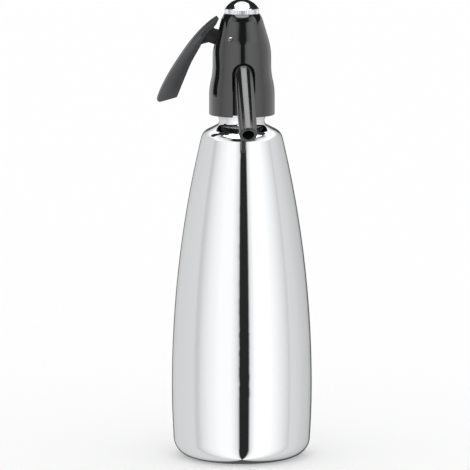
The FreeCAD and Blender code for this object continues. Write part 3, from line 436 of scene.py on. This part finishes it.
# The bearing shrinks higher up, so the dark gap widens, as between two panels that lean apart
gap_spread = add(
    tree, "ShaderNodeMapRange", {"interpolation_type": "SMOOTHSTEP"},
    {"From Min": GAP_WIDENS_FROM, "From Max": GAP_WIDENS_TO, "To Min": 1.0, "To Max": GAP_NARROWING},
    {"Value": way.outputs["Z"]},
)
narrowed = add(
    tree, "ShaderNodeMath", {"operation": "MULTIPLY"},
    links={0: bearing.outputs[0], 1: gap_spread.outputs["Result"]},
)
round_share = add(
    tree, "ShaderNodeMapRange", inputs={"From Min": -math.pi, "From Max": math.pi},
    links={"Value": narrowed.outputs[0]},
)
panels = add(tree, "ShaderNodeValToRGB", links={"Fac": round_share.outputs["Result"]})
ramp = panels.color_ramp
for number, (degrees, level) in enumerate(PANELS):
    share = (degrees + 180) / 360
    if number < 2:
        stop = ramp.elements[number]
        stop.position = share
    else:
        stop = ramp.elements.new(share)
    stop.color = [level / PANEL_LEVEL] * 3 + [1.0]
# Panels end 38 to 53 degrees up at the front and higher behind; above them the room is dim
behind = add(tree, "ShaderNodeMath", {"operation": "MAXIMUM"}, {1: 0.0}, {0: way.outputs["Y"]})
rise = add(
    tree, "ShaderNodeMath", {"operation": "MULTIPLY_ADD"}, {1: -0.35},
    {0: behind.outputs[0], 2: way.outputs["Z"]},
)
dim_level = add(
    tree, "ShaderNodeMapRange",
    inputs={"From Min": 0.0, "From Max": 0.3, "To Min": DIM_IN_FRONT, "To Max": DIM_BEHIND},
    links={"Value": behind.outputs[0]},
)
panel_height = add(
    tree, "ShaderNodeMapRange", {"interpolation_type": "SMOOTHSTEP"},
    {"From Min": 0.62, "From Max": 0.8, "To Min": 1.0},
    {"Value": rise.outputs[0], "To Max": dim_level.outputs["Result"]},
)
panel_light = add(
    tree, "ShaderNodeVectorMath", {"operation": "SCALE"},
    links={0: panels.outputs["Color"], "Scale": panel_height.outputs["Result"]},
)
panel_light = add(
    tree, "ShaderNodeVectorMath", {"operation": "SCALE"}, {"Scale": PANEL_LEVEL},
    {0: panel_light.outputs["Vector"]},
)
# Overhead box: narrow where it begins, about 50 degrees up, wider overhead, and ending behind
sideways = add(tree, "ShaderNodeMath", {"operation": "ABSOLUTE"}, links={0: way.outputs["X"]})
widening = add(tree, "ShaderNodeMath", {"operation": "POWER"}, {1: 3.0}, {0: way.outputs["Z"]})
lean = add(
    tree, "ShaderNodeMath", {"operation": "DIVIDE"},
    links={0: sideways.outputs[0], 1: widening.outputs[0]},
)
box_side = add(
    tree, "ShaderNodeMapRange", {"interpolation_type": "SMOOTHSTEP"},
    {"From Min": 0.85, "From Max": 1.05, "To Min": 1.0, "To Max": 0.0}, {"Value": lean.outputs[0]},
)
box_end = add(
    tree, "ShaderNodeMapRange", {"interpolation_type": "SMOOTHSTEP"},
    {"From Min": 0.74, "From Max": 0.82}, {"Value": way.outputs["Z"]},
)
box_back = add(
    tree, "ShaderNodeMapRange", {"interpolation_type": "SMOOTHSTEP"},
    {"From Min": 0.2, "From Max": 0.42, "To Min": 1.0, "To Max": 0.0}, {"Value": way.outputs["Y"]},
)
box_light = add(
    tree, "ShaderNodeMath", {"operation": "MULTIPLY"},
    links={0: box_side.outputs["Result"], 1: box_end.outputs["Result"]},
)
box_light = add(
    tree, "ShaderNodeMath", {"operation": "MULTIPLY"},
    links={0: box_light.outputs[0], 1: box_back.outputs["Result"]},
)
box_light = add(
    tree, "ShaderNodeMath", {"operation": "MULTIPLY"}, {1: OVERHEAD_LEVEL}, {0: box_light.outputs[0]}
)
studio_light = add(
    tree, "ShaderNodeVectorMath", {"operation": "ADD"},
    links={0: panel_light.outputs["Vector"], 1: box_light.outputs[0]},
)
seen = add(tree, "ShaderNodeLightPath")
dull_light = add(
    tree, "ShaderNodeBackground", inputs={"Color": (1, 1, 1, 1), "Strength": PLAIN_LEVEL}
)
polished_light = add(
    tree, "ShaderNodeBackground", inputs={"Strength": 1.0},
    links={"Color": studio_light.outputs["Vector"]},
)
white = add(tree, "ShaderNodeBackground", inputs={"Color": (1, 1, 1, 1), "Strength": 1.0})
for_surfaces = add(
    tree, "ShaderNodeMixShader",
    links={0: seen.outputs["Is Glossy Ray"], 1: dull_light.outputs[0], 2: polished_light.outputs[0]},
)
for_all = add(
    tree, "ShaderNodeMixShader",
    links={0: seen.outputs["Is Camera Ray"], 1: for_surfaces.outputs[0], 2: white.outputs[0]},
)
add(tree, "ShaderNodeOutputWorld", links={"Surface": for_all.outputs[0]})

# Camera: upright, 3 m away, higher than the siphon's head and 3.5 degrees to the lever's side.
# The picture is 336 mm wide where the siphon stands.

CAMERA_TURN = math.radians(3.5)
CAMERA_DISTANCE = 3.0
CAMERA_HEIGHT = 0.581
AIM_LEFT = 4.9 * MM
AIM_HEIGHT = 159.35 * MM
VIEW_WIDTH = 335.8 * MM
SENSOR = 36.0
right = Vector((math.cos(CAMERA_TURN), -math.sin(CAMERA_TURN), 0))
aim = Vector((0, 0, AIM_HEIGHT)) - right * AIM_LEFT
toward_camera = Vector((-math.sin(CAMERA_TURN), -math.cos(CAMERA_TURN), 0))
stand = toward_camera * CAMERA_DISTANCE - right * AIM_LEFT
stand.z = CAMERA_HEIGHT
camera = bpy.data.objects.new("camera", bpy.data.cameras.new("camera"))
camera.location = stand
camera.rotation_euler = (aim - stand).to_track_quat("-Z", "Y").to_euler()
camera.data.sensor_width = SENSOR
camera.data.lens = SENSOR * (aim - stand).length / VIEW_WIDTH
camera.data.clip_end = 50
bpy.context.collection.objects.link(camera)
bpy.context.scene.camera = camera
bpy.context.scene.view_settings.view_transform = "Standard"
